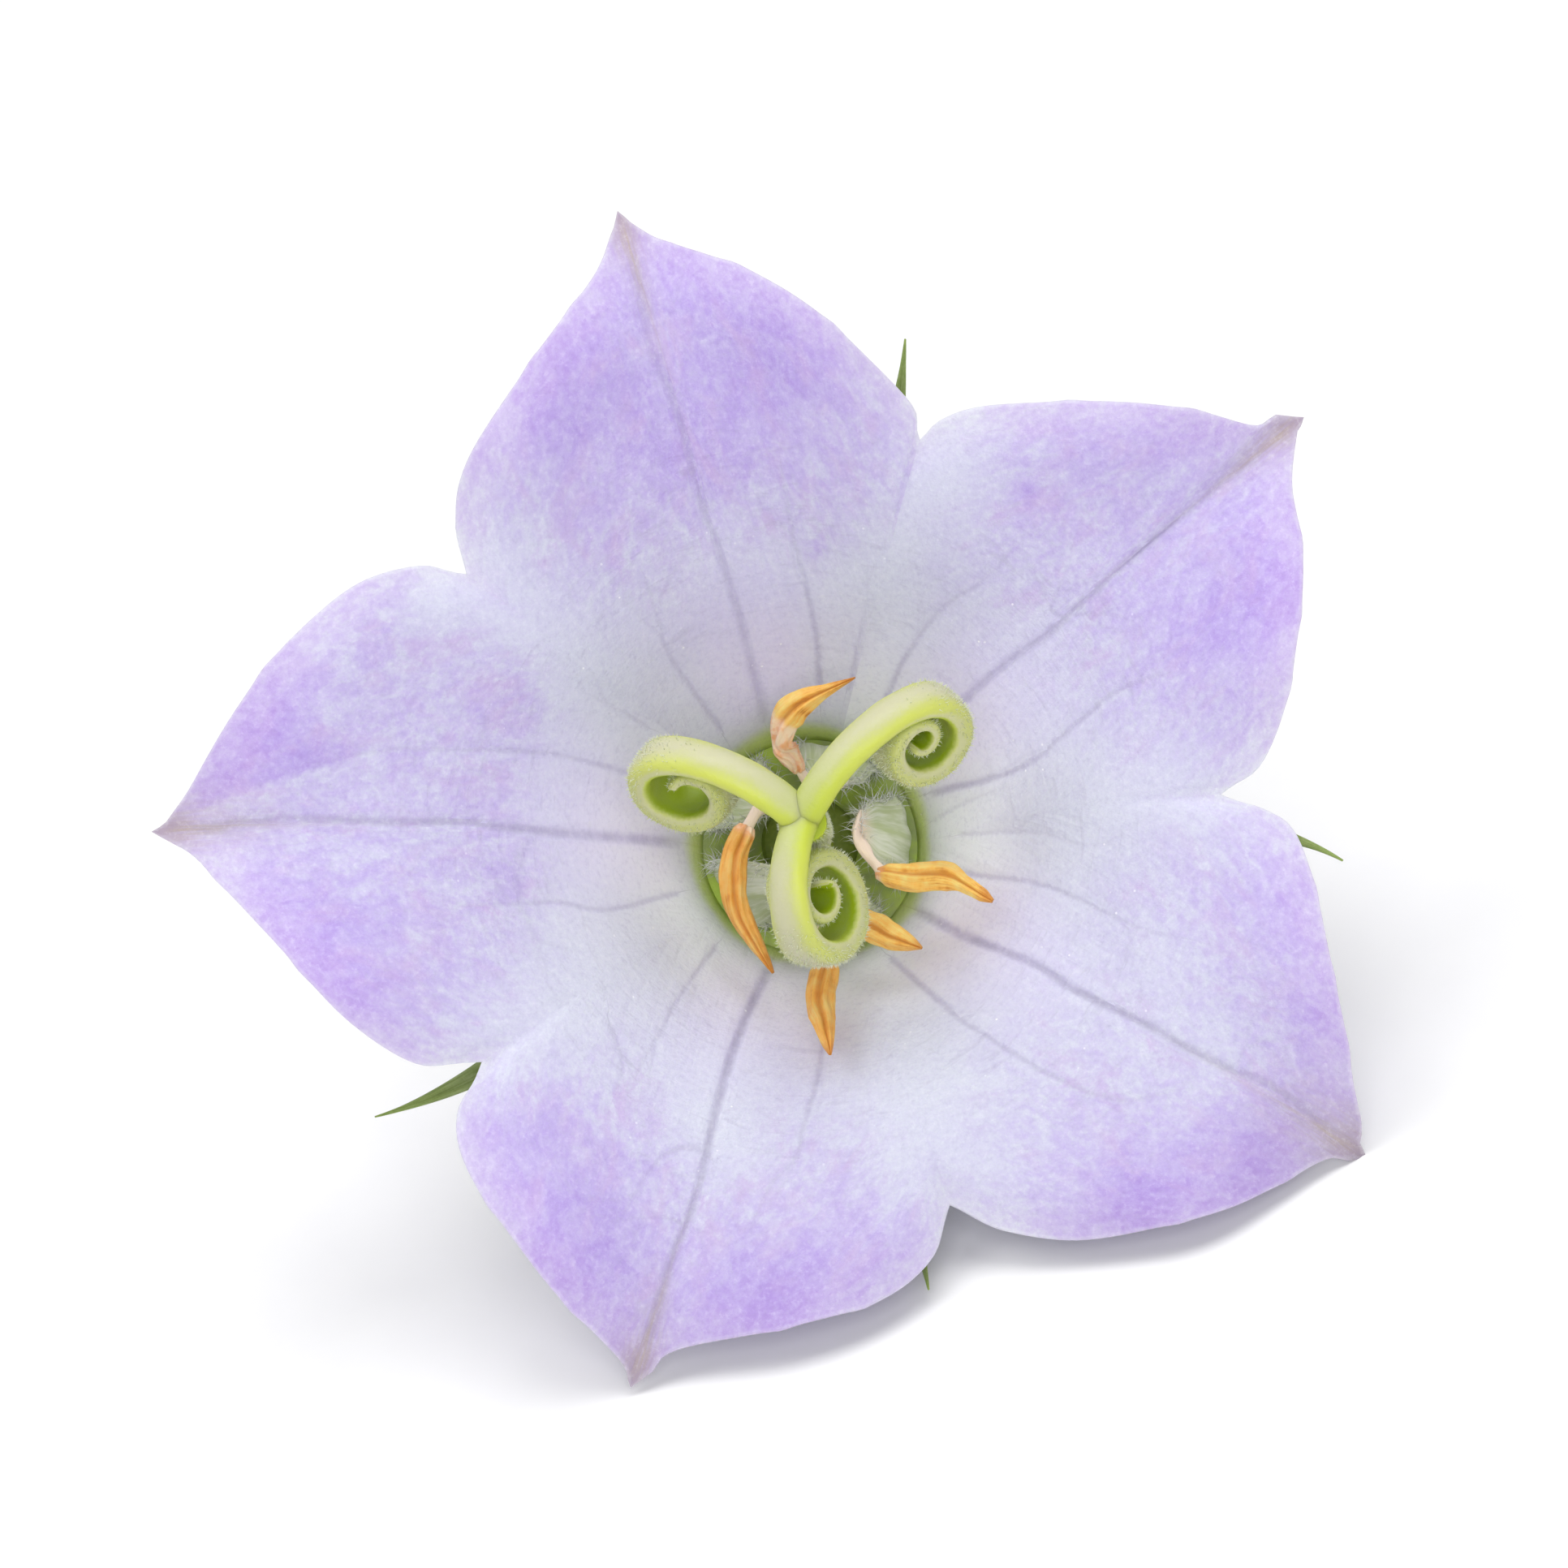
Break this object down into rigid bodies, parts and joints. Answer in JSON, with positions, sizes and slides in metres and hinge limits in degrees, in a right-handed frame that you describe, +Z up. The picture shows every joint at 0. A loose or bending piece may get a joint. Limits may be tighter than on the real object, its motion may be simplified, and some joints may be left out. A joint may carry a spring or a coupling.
{
  "type": "carpathian bellflower bloom",
  "caption": "Open lilac bellflower bloom with pointed petal lobes, curled stigma, withered anthers, ribbed green calyx and a short cut stalk, lying on two petal tips and the stalk.",
  "frame": {"origin": "on the surface the bloom lies on, under the middle of its box seen from above", "axes": "+Z up from the surface, +X along the bloom's width, and the bloom opens towards -Y and up"},
  "size_m": [0.0414, 0.029, 0.0305],
  "materials": {
    "petal": "matte",
    "calyx": "satin",
    "stalk": "satin",
    "nectary": "satin",
    "filament": "matte",
    "anther": "matte",
    "stigma": "matte"
  },
  "bodies": {
    "root": {"corolla": "petal", "calyx": "calyx", "stalk": "stalk", "nectary_disc": "nectary", "filament_right": "filament", "filament_upper": "filament", "filament_upper_left": "filament", "filament_lower_left": "filament", "filament_lower_right": "filament", "anther_right": "anther", "anther_upper": "anther", "anther_upper_left": "anther", "anther_lower_left": "anther", "anther_lower_right": "anther", "pistil": "stigma"}
  },
  "joints": []
}
